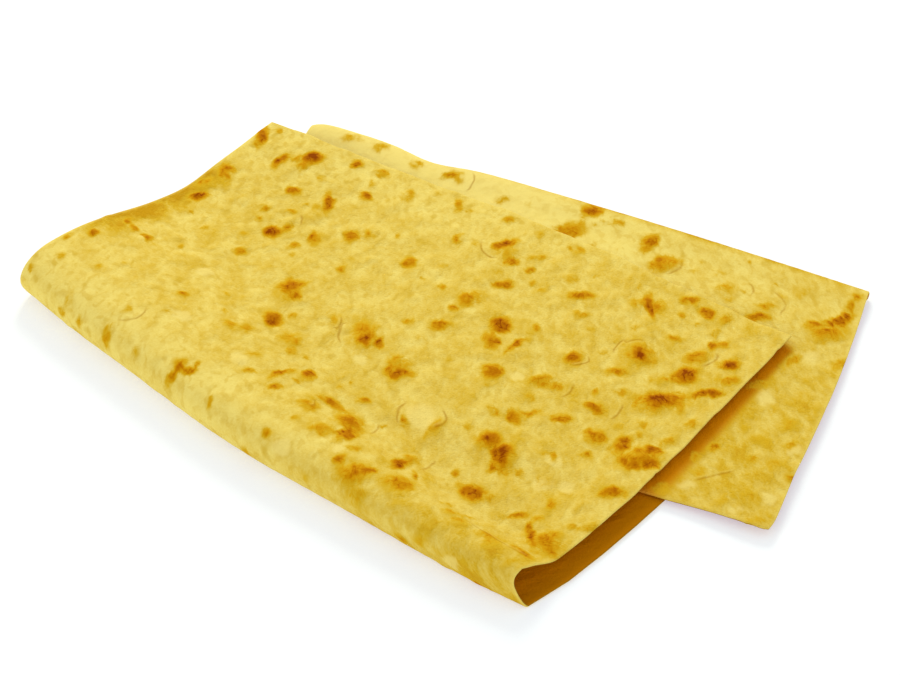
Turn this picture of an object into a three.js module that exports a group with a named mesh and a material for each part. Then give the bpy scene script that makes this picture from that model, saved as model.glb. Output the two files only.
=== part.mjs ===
// Folded lavash: one thin, soft flatbread, folded in three like a letter.
//
// The bread is a single sheet. Its path, seen from the right-hand end, is a spiral:
//   top layer -> loose front fold -> bottom layer, flat on the table
//   -> tight far fold -> tucked layer, between the other two.
// The far fold runs askew, so the tucked layer sticks out to the right as a flap.
//
// Every point of the sheet has two coordinates. "across" runs from 0 at the left side
// edge to 1 at the right side edge. The other one runs along the path above. Each layer
// and each fold is a short function of both, the middle of the bread's thickness is
// worked out from them as a grid, and the crust on either side is half a thickness away.
//
// Millimetres, +X along the front fold, +Y away from it, +Z up, table at z = 0.

import * as THREE from "three";

// ---------------------------------------------------------------- driving dimensions

const THICKNESS = 1.5; // of the bread, crust to crust
const AIR = 0.6; // between two layers that lie on each other

// Corners of the layers, in plan, from the right-hand end of the front fold.
const TOP_CORNERS = [new THREE.Vector2(-340, 190), new THREE.Vector2(-6, 233.5)];
const FRONT_ENDS = [-339.5, -0.5];
const FAR_FOLD_ENDS = [new THREE.Vector2(-329, 216.6), new THREE.Vector2(2.5, 295)];
const TUCKED_CORNERS = [new THREE.Vector2(-262, 20), new THREE.Vector2(66, 111)];

// Front fold: a loose roll, fat at the left and slim at the right. [left, right]
const CREST_HEIGHT = [23.7, 15.3]; // highest line of the roll, middle of the bread
const CREST_BEHIND_FRONT = [21, 8]; // how far the crest lies behind the front
const LANDING_BEHIND_FRONT = [128, 31]; // where the top layer has come down
const CONTACT_BEHIND_FRONT = [10, 3]; // where the roll meets the table
const FRONT_SHARE_OF_HEIGHT = [0.45, 0.6]; // height of the foremost line, of the crest's
const FRONT_BOW = 12.6; // the roll bulges forward between its ends
const FRONT_BOW_POWER = 1.05;
const FRONT_RIPPLE = 0.7;
const FRONT_RIPPLE_ANGLE = 14.6; // radians from one end of the roll to the other
const ROLL_END_LEAN = 8.5; // at the right end, the roll's foot reaches further out
const ROLL_LEAN_FROM = 0.7; // share across at which the lean begins
const ROLL_LEAN_TURN = [122, 270]; // degrees round the roll

// Side and free edges are a little curved, as the bread was rolled out by hand.
const TOP_EDGE_BOW = 12;
const TOP_EDGE_BOW_POWER = 1.6;
const TOP_EDGE_DRIFT = 0.1; // of the bow, to the left
const TOP_SIDE_BOW = 6.6;
const TOP_SIDE_BOW_FROM = 0.55; // share across
const BOTTOM_SIDE_BOW = 7.1;
const BOTTOM_SIDE_BOW_FROM = 0.5;
const SIDE_BOW_POWER = 0.62; // the side edges swell most near the front fold
const FLAP_SIDE_BOW = 1.3;
const FLAP_SIDE_BOW_TO = 0.8; // share of the tucked layer's length
const FLAP_EDGE_HOLLOW = 1;
const FLAP_EDGE_HOLLOW_SPAN = [0.8, 0.99]; // shares across
const FLAP_CORNER = 1.6; // how far the flap's corner is rounded back
const FLAP_CORNER_SHARES = [0.01, 0.02]; // of the rounding, across and along
const EDGE_RIPPLE = 0.5;
const EDGE_RIPPLE_ANGLE = 31; // radians from one end of the edge to the other

// Far fold: tight, pressed flatter at the right, with one dent.
const FAR_FOLD_RADIUS = [2.9, 1.8];
const FAR_FOLD_DENT = 5.5;
const FAR_FOLD_DENT_AT = -252;
const FAR_FOLD_DENT_HALF_WIDTH = 21;
const FAR_FOLD_BOW = 1.6;
const FAR_FOLD_BOW_FROM = 0.35; // share across
const FAR_FOLD_CORNER = 6;
const FAR_FOLD_CORNER_SHARE = 0.012;
const FAR_FOLD_RELAX = 22; // the tucked layer is down this far from the fold

// How the free parts of the top layer and the flap stand off what they lie on.
const CORNER_CURL = 8.5; // the far left corner curls up
const CORNER_CURL_REACH = 70;
const CORNER_CURL_SPAN = [105, 205]; // the curl grows between these places along Y
const SIDE_EDGE_HEIGHT = 7.2; // the right side edge floats at this height
const SIDE_LIFT_FROM = 0.88; // share across
const FLAP_LIFT = 1.2;
const FLAP_LIFT_SPAN = [12, 50]; // along X
const STEP_LENGTH = 16; // the top layer steps up onto the tucked layer over this
const STEP_END = 2; // and is up this far before the tucked layer's edge

// Relief of the baked sheet, on the crust that faces out.
const WAVE_HEIGHT = 0.8;
const WAVE_LENGTHS = [61, 47, 38];
const WAVE_STARTS = [0, 1.3, 2.1]; // radians
const FLAP_RELIEF_SPAN = [14, 40]; // only the flap's free part has relief, along X
const SHEET_WIDTH = 340;
const BLISTER_HEIGHT = 0.11; // of a blister's radius

// Blisters of the top layer: millimetres from the left side edge, millimetres from the
// roll's crest, and radius.
const TOP_BLISTERS = [
  [11, 103, 8], [10, 127, 9], [8, 158, 9], [34, 163, 11], [68, 115, 10], [74, 152, 10],
  [105, 142, 9], [109, 89, 13], [120, 66, 11], [130, 208, 9], [144, 152, 10],
  [151, 184, 8], [167, 90, 13], [174, 200, 10], [188, 29, 12], [187, 190, 9],
  [193, 155, 10], [198, 82, 12], [211, 29, 13], [216, 140, 13], [229, 64, 14],
  [231, 192, 10], [247, 30, 11], [258, 149, 10], [260, 125, 11], [263, 72, 10],
  [265, 96, 10], [266, 209, 13], [276, 67, 11], [282, 172, 13], [284, 40, 11],
  [290, 126, 9], [303, 109, 10], [310, 192, 10], [312, 171, 10], [315, 148, 15],
  [325, 28, 15], [328, 107, 13], [331, 179, 9],
];
// Blisters of the tucked layer: from the left side edge, from the far fold, and radius.
const TUCKED_BLISTERS = [
  [309, 107, 10], [322, 66, 11], [326, 40, 14], [334, 137, 9], [335, 175, 10],
  [317, 150, 9], [297, 150, 9],
];

// The grid: cells across the sheet, and along each stretch of its path.
const CELLS_ACROSS = 44;
const CELLS_ALONG = { top: 27, frontFold: 10, bottom: 4, farFold: 4, tucked: 14 };
const TOP_ROW_SPACING = 0.9; // a power: the rows are closer together near the free edge

const BREAD_COLOUR = 0xe2c35e;

// ---------------------------------------------------------------- small helpers

const clamp01 = (x) => Math.min(1, Math.max(0, x));
const mix = (a, b, share) => a + (b - a) * share;
const across = (pair, t) => mix(pair[0], pair[1], t);
const smooth = (x, from, to) => THREE.MathUtils.smoothstep(x, from, to);
// How far x has come from start to end, as a share of the way.
const shareOf = (x, start, end) => clamp01((x - start) / (end - start));
// A hill's slope: 1 at the crest, 0 from the foot on, level at both.
const hillside = (share) => 0.5 * (1 + Math.cos(Math.PI * clamp01(share)));
// A bow between two ends: 0 at both, 1 at the middle.
const bow = (t) => 4 * t * (1 - t);

function normalTo(ends) {
  const along = ends[1].clone().sub(ends[0]).normalize();
  return new THREE.Vector2(-along.y, along.x);
}

const FAR_NORMAL = normalTo(FAR_FOLD_ENDS);
const TUCKED_NORMAL = normalTo(TUCKED_CORNERS);

// ---------------------------------------------------------------- the front fold

// The loose roll's measures at one place across the sheet.
function rollAt(t) {
  const crest = across(CREST_HEIGHT, t);
  const leftmost = across(FRONT_ENDS, t);
  return {
    crest,
    x: leftmost,
    footX: leftmost + ROLL_END_LEAN * smooth(t, ROLL_LEAN_FROM, 1),
    frontY: -FRONT_BOW * bow(t) ** FRONT_BOW_POWER
      - FRONT_RIPPLE * Math.cos((t - 0.5) * FRONT_RIPPLE_ANGLE),
    frontZ: mix(THICKNESS / 2, crest, across(FRONT_SHARE_OF_HEIGHT, t)),
    behindCrest: across(CREST_BEHIND_FRONT, t),
    behindLanding: across(LANDING_BEHIND_FRONT, t),
    behindContact: across(CONTACT_BEHIND_FRONT, t),
  };
}

// Two quarter ellipses, from the crest over the front to the table. turn: 90 to 270 degrees.
function rollPoint(t, turn) {
  const roll = rollAt(t);
  const upper = turn <= 180;
  const angle = THREE.MathUtils.degToRad(turn);
  const reach = upper ? roll.behindCrest : roll.behindContact;
  const rise = upper ? roll.crest - roll.frontZ : roll.frontZ - THICKNESS / 2;
  const x = mix(roll.x, roll.footX, smooth(turn, ...ROLL_LEAN_TURN));
  return new THREE.Vector3(
    x,
    roll.frontY + reach * (1 + Math.cos(angle)),
    roll.frontZ + rise * Math.sin(angle),
  );
}

// ---------------------------------------------------------------- the top layer

// Height at which the top layer rests: on the bottom layer near the front fold, and one
// layer higher on the tucked one, with a short slope up to its free edge.
function restingHeight(x, y) {
  const pastEdge = (x - TUCKED_CORNERS[0].x) * TUCKED_NORMAL.x
    + (y - TUCKED_CORNERS[0].y) * TUCKED_NORMAL.y;
  const onBottom = 1.5 * THICKNESS + AIR;
  return onBottom + (THICKNESS + AIR) * smooth(pastEdge, -STEP_LENGTH - STEP_END, -STEP_END);
}

function topHeight(x, y, t) {
  const roll = rollAt(t);
  const rest = restingHeight(x, y);
  const fromCorner = (x - TOP_CORNERS[0].x) / CORNER_CURL_REACH;
  const curl = CORNER_CURL * smooth(y, ...CORNER_CURL_SPAN) * Math.exp(-(fromCorner ** 2));
  const sideLift = Math.max(0, SIDE_EDGE_HEIGHT - rest) * smooth(t, SIDE_LIFT_FROM, 1);
  const low = rest + curl + sideLift;
  const behindCrest = y - roll.frontY - roll.behindCrest;
  return mix(low, roll.crest, hillside(behindCrest / (roll.behindLanding - roll.behindCrest)));
}

// v runs from 0 at the free edge to 1 at the roll's crest.
function topPoint(t, v) {
  const roll = rollAt(t);
  const crestY = roll.frontY + roll.behindCrest;
  const swell = TOP_EDGE_BOW * bow(t) ** TOP_EDGE_BOW_POWER;
  const edge = TOP_CORNERS[0].clone().lerp(TOP_CORNERS[1], t);
  const ripple = EDGE_RIPPLE * Math.sin(t * EDGE_RIPPLE_ANGLE) * (1 - v) ** 2;
  const y = mix(edge.y + swell + ripple, crestY, v);
  const sideSwell = TOP_SIDE_BOW * Math.sin(Math.PI * (1 - v) ** SIDE_BOW_POWER);
  const x = mix(edge.x - TOP_EDGE_DRIFT * swell, roll.x, v)
    + sideSwell * smooth(t, TOP_SIDE_BOW_FROM, 1);
  return new THREE.Vector3(x, y, topHeight(x, y, t));
}

// ---------------------------------------------------------------- bottom and far fold

// Where the bottom layer ends and the far fold starts, in plan.
function farFoldStart(t) {
  const line = FAR_FOLD_ENDS[0].clone().lerp(FAR_FOLD_ENDS[1], t);
  const fromDent = (line.x - FAR_FOLD_DENT_AT) / FAR_FOLD_DENT_HALF_WIDTH;
  const dent = FAR_FOLD_DENT * Math.exp(-(fromDent ** 2));
  const swell = FAR_FOLD_BOW * Math.sin(Math.PI * shareOf(t, FAR_FOLD_BOW_FROM, 1));
  const corner = FAR_FOLD_CORNER * Math.exp(-t / FAR_FOLD_CORNER_SHARE);
  const back = dent - swell + corner + across(FAR_FOLD_RADIUS, t);
  return line.addScaledVector(FAR_NORMAL, -back);
}

// v runs from 0 at the roll's foot to 1 at the far fold.
function bottomPoint(t, v) {
  const roll = rollAt(t);
  const foot = new THREE.Vector2(roll.footX, roll.frontY + roll.behindContact);
  const plan = foot.lerp(farFoldStart(t), v);
  const sideSwell = BOTTOM_SIDE_BOW * Math.sin(Math.PI * v ** SIDE_BOW_POWER);
  plan.x += sideSwell * smooth(t, BOTTOM_SIDE_BOW_FROM, 1);
  return new THREE.Vector3(plan.x, plan.y, THICKNESS / 2);
}

// A half circle from the bottom layer up to the tucked one. turn: -90 to 90 degrees.
function farFoldPoint(t, turn) {
  const angle = THREE.MathUtils.degToRad(turn);
  const radius = across(FAR_FOLD_RADIUS, t);
  const plan = farFoldStart(t).addScaledVector(FAR_NORMAL, radius * Math.cos(angle));
  return new THREE.Vector3(plan.x, plan.y, THICKNESS / 2 + radius * (1 + Math.sin(angle)));
}

// ---------------------------------------------------------------- the tucked layer

// v runs from 0 at the far fold to 1 at the free edge, whose right corner shows.
function tuckedPoint(t, v) {
  const start = farFoldStart(t);
  const edge = TUCKED_CORNERS[0].clone().lerp(TUCKED_CORNERS[1], t);
  const hollow = FLAP_EDGE_HOLLOW * Math.sin(Math.PI * shareOf(t, ...FLAP_EDGE_HOLLOW_SPAN));
  const cornerBack = FLAP_CORNER * Math.exp((t - 1) / FLAP_CORNER_SHARES[0]);
  edge.addScaledVector(TUCKED_NORMAL, hollow + cornerBack);
  const length = start.distanceTo(edge);
  const plan = start.lerp(edge, v);
  const sideBow = FLAP_SIDE_BOW * Math.sin(Math.PI * clamp01(v / FLAP_SIDE_BOW_TO))
    * smooth(t, BOTTOM_SIDE_BOW_FROM, 1);
  const sideBack = FLAP_CORNER * Math.exp((v - 1) / FLAP_CORNER_SHARES[1])
    * smooth(t, SIDE_LIFT_FROM, 1);
  const outward = new THREE.Vector2(-TUCKED_NORMAL.y, TUCKED_NORMAL.x).negate();
  plan.addScaledVector(outward, sideBow - sideBack);
  const low = 1.5 * THICKNESS + AIR;
  const foldTop = THICKNESS / 2 + 2 * across(FAR_FOLD_RADIUS, t);
  const free = FLAP_LIFT * smooth(plan.x, ...FLAP_LIFT_SPAN);
  return new THREE.Vector3(
    plan.x,
    plan.y,
    mix(low + free, foldTop, hillside((v * length) / FAR_FOLD_RELAX)),
  );
}

// ---------------------------------------------------------------- relief of the crust

// Height of the crust above the smooth sheet: slow waves in plan, and blisters placed by
// lengths on the sheet. It is never negative, so a layer never sinks into the one below.
function relief(point, place, blisters) {
  const plan = [point.x, point.y, point.x + point.y];
  let wave = 0;
  for (const [k, length] of WAVE_LENGTHS.entries()) {
    wave += (1 + Math.sin((plan[k] / length) * 2 * Math.PI + WAVE_STARTS[k])) / 2;
  }
  let height = (WAVE_HEIGHT * wave) / WAVE_LENGTHS.length;
  for (const [x, y, radius] of blisters) {
    const away = Math.hypot(place.across - x, place.along - y);
    height += BLISTER_HEIGHT * radius * hillside(away / radius);
  }
  return height;
}

// ---------------------------------------------------------------- grid of the sheet

// One row of the grid for each step along the path. A level row keeps its underside flat
// on the table.
function sheetRows() {
  const rows = [];
  const add = (name, place, last = 0) => {
    const count = CELLS_ALONG[name];
    for (let i = 0; i < count + last; i += 1) {
      rows.push({ name, place: (t) => place(t, i / count), level: name === "bottom" });
    }
  };
  add("top", (t, v) => topPoint(t, v ** TOP_ROW_SPACING));
  add("frontFold", (t, v) => rollPoint(t, mix(90, 270, v)));
  add("bottom", bottomPoint);
  add("farFold", (t, v) => farFoldPoint(t, mix(-90, 90, v)));
  add("tucked", tuckedPoint, 1);
  return rows;
}

// The sheet's middle, column by column: smooth points first, then lengths along the
// sheet, then relief on the top layer and on the flap.
function sheetMiddle(rows) {
  const middle = rows.map(() => []);
  const crestRow = CELLS_ALONG.top;
  const foldRow = rows.length - 1 - CELLS_ALONG.tucked - CELLS_ALONG.farFold / 2;
  for (let j = 0; j <= CELLS_ACROSS; j += 1) {
    const t = j / CELLS_ACROSS;
    const column = rows.map((row) => row.place(t));
    const travelled = [0];
    for (let i = 1; i < rows.length; i += 1) {
      travelled.push(travelled[i - 1] + column[i].distanceTo(column[i - 1]));
    }
    column.forEach((point, i) => {
      const place = { across: t * SHEET_WIDTH };
      const lifted = point.clone();
      if (rows[i].name === "top") {
        place.along = travelled[crestRow] - travelled[i];
        lifted.z += relief(point, place, TOP_BLISTERS);
      } else if (rows[i].name === "tucked") {
        place.along = travelled[i] - travelled[foldRow];
        const free = smooth(point.x, ...FLAP_RELIEF_SPAN);
        lifted.z += free * relief(point, place, TUCKED_BLISTERS);
      }
      middle[i].push(lifted);
    });
  }
  return middle;
}

// The direction that faces out of the fold, from the neighbours in the grid.
function outwardNormal(middle, i, j) {
  const clampRow = (k) => middle[Math.min(middle.length - 1, Math.max(0, k))];
  const clampColumn = (k) => Math.min(CELLS_ACROSS, Math.max(0, k));
  const along = clampRow(i + 1)[j].clone().sub(clampRow(i - 1)[j]);
  const sideways = middle[i][clampColumn(j + 1)].clone().sub(middle[i][clampColumn(j - 1)]);
  return sideways.cross(along).negate().normalize();
}

// ---------------------------------------------------------------- the closed solid

function breadGeometry() {
  const rows = sheetRows();
  const middle = sheetMiddle(rows);
  const columns = CELLS_ACROSS + 1;
  const positions = [];
  for (const side of [THICKNESS / 2, -THICKNESS / 2]) {
    rows.forEach((row, i) => {
      for (let j = 0; j < columns; j += 1) {
        const out = row.level ? new THREE.Vector3(0, 0, -1) : outwardNormal(middle, i, j);
        const point = middle[i][j].clone().addScaledVector(out, side);
        positions.push(point.x, point.y, point.z);
      }
    });
  }
  const outer = (i, j) => i * columns + j;
  const inner = (i, j) => rows.length * columns + i * columns + j;
  const indices = [];
  const quad = (a, b, c, d) => indices.push(a, b, c, a, c, d);
  for (let i = 0; i < rows.length - 1; i += 1) {
    for (let j = 0; j < CELLS_ACROSS; j += 1) {
      quad(outer(i, j), outer(i + 1, j), outer(i + 1, j + 1), outer(i, j + 1));
      quad(inner(i, j), inner(i, j + 1), inner(i + 1, j + 1), inner(i + 1, j));
    }
    quad(outer(i + 1, 0), outer(i, 0), inner(i, 0), inner(i + 1, 0));
    quad(outer(i, CELLS_ACROSS), outer(i + 1, CELLS_ACROSS),
      inner(i + 1, CELLS_ACROSS), inner(i, CELLS_ACROSS));
  }
  const last = rows.length - 1;
  for (let j = 0; j < CELLS_ACROSS; j += 1) {
    quad(outer(0, j), outer(0, j + 1), inner(0, j + 1), inner(0, j));
    quad(outer(last, j + 1), outer(last, j), inner(last, j), inner(last, j + 1));
  }
  const geometry = new THREE.BufferGeometry();
  geometry.setAttribute("position", new THREE.Float32BufferAttribute(positions, 3));
  geometry.setIndex(indices);
  return geometry;
}

// ---------------------------------------------------------------- the model

// The origin is the middle of the bread's footprint, on the table.
function centreFootprint(geometry) {
  geometry.computeBoundingBox();
  const middle = geometry.boundingBox.getCenter(new THREE.Vector3());
  geometry.translate(-middle.x, -middle.y, 0);
}

function lavash() {
  const geometry = breadGeometry();
  centreFootprint(geometry);
  geometry.computeVertexNormals();
  const bread = new THREE.MeshStandardMaterial({
    color: BREAD_COLOUR,
    roughness: 0.8,
    metalness: 0,
    flatShading: true,
  });
  const mesh = new THREE.Mesh(geometry, bread);
  mesh.name = "lavash";
  return mesh;
}

const model = new THREE.Group();
model.name = "folded_lavash";
model.add(lavash());

export default model;
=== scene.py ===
# %% [markdown]
# # Folded lavash
#
# Lavash is a sheet of dough, rolled out as thin as cloth and slapped onto the hot wall of
# an oven. It bakes in a minute: the crust stays pale yellow, and each bubble that touches
# the heat is toasted gold, brown or nearly black. This one is folded in three like a
# letter. The last fold is loose, so it stands up as a soft roll along the front.
#
# The lesson makes the bread as it is made in a bakery. First comes the shape of the fold,
# then a flat sheet's worth of bubbles and toast marks, and then the sheet, marks and all,
# is laid along the fold. A mark keeps its place on the bread whichever way it is bent.
#
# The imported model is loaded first. It is the fixed frame: it gives the size, and the new
# bread fills the same box to a fraction of a millimetre.

# %% Load the frame
import math

import bpy
import numpy as np
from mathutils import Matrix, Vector


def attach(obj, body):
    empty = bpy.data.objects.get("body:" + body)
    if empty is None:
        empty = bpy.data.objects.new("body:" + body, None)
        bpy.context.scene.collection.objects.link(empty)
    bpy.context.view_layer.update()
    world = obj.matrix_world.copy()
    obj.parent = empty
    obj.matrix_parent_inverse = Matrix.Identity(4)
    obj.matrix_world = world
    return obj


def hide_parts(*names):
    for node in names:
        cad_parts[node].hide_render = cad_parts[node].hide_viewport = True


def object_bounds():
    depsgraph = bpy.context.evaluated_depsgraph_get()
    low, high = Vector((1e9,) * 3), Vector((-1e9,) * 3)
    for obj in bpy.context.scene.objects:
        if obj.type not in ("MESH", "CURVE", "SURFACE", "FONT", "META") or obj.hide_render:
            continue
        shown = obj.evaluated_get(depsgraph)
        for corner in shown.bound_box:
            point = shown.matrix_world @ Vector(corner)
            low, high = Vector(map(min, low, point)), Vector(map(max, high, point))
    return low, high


MM = 0.001


def in_mm(box):
    """The two corners of a box in metres, rounded to tenths of a millimetre."""
    return [[round(x / MM, 1) for x in corner] for corner in box]


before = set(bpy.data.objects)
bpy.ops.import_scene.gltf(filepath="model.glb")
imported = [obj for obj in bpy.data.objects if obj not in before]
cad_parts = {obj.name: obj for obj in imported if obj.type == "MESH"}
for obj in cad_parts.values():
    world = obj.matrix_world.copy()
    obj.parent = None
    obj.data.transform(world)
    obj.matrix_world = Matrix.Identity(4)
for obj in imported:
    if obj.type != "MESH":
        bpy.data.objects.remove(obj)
cad_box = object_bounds()
scene = bpy.context.scene
print("frame box, mm:", in_mm(cad_box))

# %% [markdown]
# ## The camera
#
# The camera comes early, because it decides how large a detail has to be before it is
# seen. It stands to the right of the bread's front and looks down at 40 degrees, through
# a long lens, so that the far corners stay nearly as large as the near ones.

# %% Camera
CAMERA_PLACE = Vector((0.57196, -0.68240, 0.74027))
CAMERA_TARGET = Vector((-0.00720, -0.01690, 0.0))
CAMERA_LENS = 88.0  # mm, on a sensor 36 mm wide

camera = bpy.data.objects.new("camera", bpy.data.cameras.new("camera"))
camera.data.sensor_width = 36.0
camera.data.lens = CAMERA_LENS
camera.data.clip_start = 0.01
camera.data.clip_end = 50.0
camera.location = CAMERA_PLACE
camera.rotation_mode = "QUATERNION"
camera.rotation_quaternion = (CAMERA_TARGET - CAMERA_PLACE).to_track_quat("-Z", "Y")
scene.collection.objects.link(camera)
scene.camera = camera
print("camera is", round((CAMERA_TARGET - CAMERA_PLACE).length, 3), "m away")

# %% [markdown]
# ## Curves that the shape is made of
#
# A soft sheet has no straight steps, so every change from one height to another follows
# one of a few smooth curves. All of them take whole arrays, so that one call works out
# the value at every point of the sheet. Lengths in the shape are in millimetres, as a
# baker would say them, and the mesh is scaled to metres at the very end.

# %% Smooth curves
def mix(a, b, share):
    """a where share is 0, b where it is 1, and a straight line between them."""
    return a + (b - a) * share


def smooth(x, start, end):
    """0 before start, 1 after end, and 3 u^2 - 2 u^3 of the share u between them."""
    u = np.clip((x - start) / (end - start), 0, 1)
    return u * u * (3 - 2 * u)


def hillside(share):
    """1 at the crest and 0 from the foot on: half of one plus the cosine of a half turn."""
    return 0.5 * (1 + np.cos(np.pi * np.clip(share, 0, 1)))


def bow(t):
    """0 at both ends and 1 in the middle: four times t times what is left of 1."""
    return 4 * t * (1 - t)


def hump(x, start, end):
    """0 up to start and from end on, and between them the sine of a half turn."""
    return np.sin(np.pi * np.clip((x - start) / (end - start), 0, 1))


def side_swell(share):
    """0 at both ends and 1 a third of the way along: the sine of a half turn, taken at
    the share to the power 0.62."""
    return np.sin(np.pi * share**0.62)


def left_normal(ends):
    """The level direction a quarter turn to the left of a line between two points."""
    along = (ends[1] - ends[0]) / np.linalg.norm(ends[1] - ends[0])
    return np.array([-along[1], along[0]])


print("smooth(0.5, 0, 1) =", float(smooth(0.5, 0, 1)))

# %% [markdown]
# ## The path of the sheet
#
# Seen from the right-hand end, the bread is a spiral: top layer, loose front roll, bottom
# layer on the table, tight far fold, and a tucked layer between the other two. The far
# fold runs askew, so the tucked layer sticks out to the right as a flap.
#
# It could be bent by a cloth simulation, but the shape of the folds is known, so it is
# better written down: each stretch is a short function of t, which runs from 0 at the
# left side edge to 1 at the right one, and of a second number along the path. The corners
# are given in plan, from the right-hand end of the front fold.

# %% Sizes of the fold
SHEET_WIDTH = 340.0
THICKNESS = 1.5
AIR = 0.6  # between two layers that lie on each other
TOP_CORNERS = np.array([[-340.0, 190.0], [-6.0, 233.5]])
FRONT_ENDS = (-339.5, -0.5)
FAR_FOLD_ENDS = np.array([[-329.0, 216.6], [2.5, 295.0]])
TUCKED_CORNERS = np.array([[-262.0, 20.0], [66.0, 111.0]])
CREST_HEIGHT = (23.7, 15.3)  # of the roll: left end, right end
CREST_BEHIND_FRONT = (21.0, 8.0)
LANDING_BEHIND_FRONT = (128.0, 31.0)
CONTACT_BEHIND_FRONT = (10.0, 3.0)
FRONT_SHARE_OF_HEIGHT = (0.45, 0.6)
FRONT_BOW = 12.6
FRONT_RIPPLE = 0.7
ROLL_END_LEAN = 8.5
TOP_EDGE_BOW = 12.0
TOP_SIDE_BOW = 6.6
BOTTOM_SIDE_BOW = 7.1
CORNER_CURL = 8.5
CORNER_CURL_REACH = 70.0
CORNER_CURL_RISE = (105.0, 205.0)  # it starts and is full this far back
SIDE_EDGE_HEIGHT = 7.2
STEP_LENGTH = 16.0
EDGE_RIPPLE = 0.5
SIDE_RIPPLE = 0.2
far_normal = left_normal(FAR_FOLD_ENDS)
tucked_normal = left_normal(TUCKED_CORNERS)
print("the far fold is askew by", round(math.degrees(math.atan2(-far_normal[0], far_normal[1])), 1))


# %% The front roll
def roll_at(t):
    """The roll's measures at each t. They go evenly from the left to the right end; the
    foot also leans out at the right, and the front bows and ripples as a slow cosine."""
    crest = mix(*CREST_HEIGHT, t)
    left_to_right = mix(*FRONT_ENDS, t)
    return {
        "crest": crest,
        "x": left_to_right,
        "foot_x": left_to_right + ROLL_END_LEAN * smooth(t, 0.7, 1),
        "front_y": -FRONT_BOW * bow(t) ** 1.05 - FRONT_RIPPLE * np.cos((t - 0.5) * 14.6),
        "front_z": mix(THICKNESS / 2, crest, mix(*FRONT_SHARE_OF_HEIGHT, t)),
        "to_crest": mix(*CREST_BEHIND_FRONT, t),
        "to_landing": mix(*LANDING_BEHIND_FRONT, t),
        "to_contact": mix(*CONTACT_BEHIND_FRONT, t),
    }


def roll_point(t, turn):
    """Two quarter ellipses, from the crest (90 degrees) over the front (180) to the table
    (270): centre plus reach times cosine and rise times sine of the turn."""
    roll = roll_at(t)
    upper = turn <= 180
    angle = np.radians(turn)
    reach = np.where(upper, roll["to_crest"], roll["to_contact"])
    rise = np.where(upper, roll["crest"] - roll["front_z"], roll["front_z"] - THICKNESS / 2)
    x = mix(roll["x"], roll["foot_x"], smooth(turn, 122, 270))
    y = roll["front_y"] + reach * (1 + np.cos(angle))
    return np.stack([x, y, roll["front_z"] + rise * np.sin(angle)], -1)


print("the roll is", CREST_HEIGHT[0], "mm high at the left and", CREST_HEIGHT[1], "at the right")


# %% The top layer
def resting_height(x, y):
    """Height of the layer's middle on the bottom layer, plus a smooth step of one layer
    where the point lies past the tucked layer's edge."""
    past = (x - TUCKED_CORNERS[0, 0]) * tucked_normal[0]
    past = past + (y - TUCKED_CORNERS[0, 1]) * tucked_normal[1]
    return 1.5 * THICKNESS + AIR + (THICKNESS + AIR) * smooth(past, -STEP_LENGTH - 2, -2)


def top_height(x, y, t):
    """The resting height, a bell-shaped curl at the far left corner and a lift along the
    right side edge, all of it blended up to the roll's crest by a cosine hillside."""
    roll = roll_at(t)
    rest = resting_height(x, y)
    bell = np.exp(-(((x - TOP_CORNERS[0, 0]) / CORNER_CURL_REACH) ** 2))
    curl = CORNER_CURL * smooth(y, *CORNER_CURL_RISE) * bell
    side = np.maximum(0, SIDE_EDGE_HEIGHT - rest) * smooth(t, 0.88, 1)
    behind_crest = y - roll["front_y"] - roll["to_crest"]
    slope = hillside(behind_crest / (roll["to_landing"] - roll["to_crest"]))
    return mix(rest + curl + side, roll["crest"], slope)


def top_edge_swell(t):
    """How far the free edge swells back: the power 1.6 of the bow curve, in mm."""
    return TOP_EDGE_BOW * bow(t) ** 1.6


def top_point(t, v):
    """A straight run in plan from the free edge (v = 0) to the crest (v = 1). The right
    side swells too, and both edges have a ripple, a sine a fraction of a mm high."""
    roll = roll_at(t)
    swell = top_edge_swell(t)
    edge_x = mix(TOP_CORNERS[0, 0], TOP_CORNERS[1, 0], t) - 0.1 * swell
    edge_y = mix(TOP_CORNERS[0, 1], TOP_CORNERS[1, 1], t) + swell
    ripple = EDGE_RIPPLE * np.sin(t * 31) * (1 - v) ** 2
    y = mix(edge_y + ripple, roll["front_y"] + roll["to_crest"], v)
    side = TOP_SIDE_BOW * side_swell(1 - v) * smooth(t, 0.55, 1)
    side = side + SIDE_RIPPLE * np.sin(v * 37 + 3 * np.sin(v * 11)) * bow(v) * smooth(t, 0.93, 1)
    x = mix(edge_x, roll["x"], v) + side
    return np.stack([x, y, top_height(x, y, t)], -1)


print("the top layer floats", SIDE_EDGE_HEIGHT, "mm up at its right side edge")

# %% [markdown]
# ## Bottom layer, far fold and tucked layer
#
# The bottom layer is flat, because the table is. The far fold is a half circle only two
# or three millimetres in radius, pressed by the weight of the bread, with one dent and a
# rounded left corner. The tucked layer comes down from it to lie on the bottom layer.

# %% The bottom layer and the far fold
FAR_FOLD_RADIUS = (2.9, 1.8)
FAR_FOLD_DENT = 5.5
FAR_FOLD_DENT_AT = -252.0
FAR_FOLD_DENT_HALF_WIDTH = 21.0
FAR_FOLD_BOW = 1.6
FAR_FOLD_CORNER = 6.0


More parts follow.
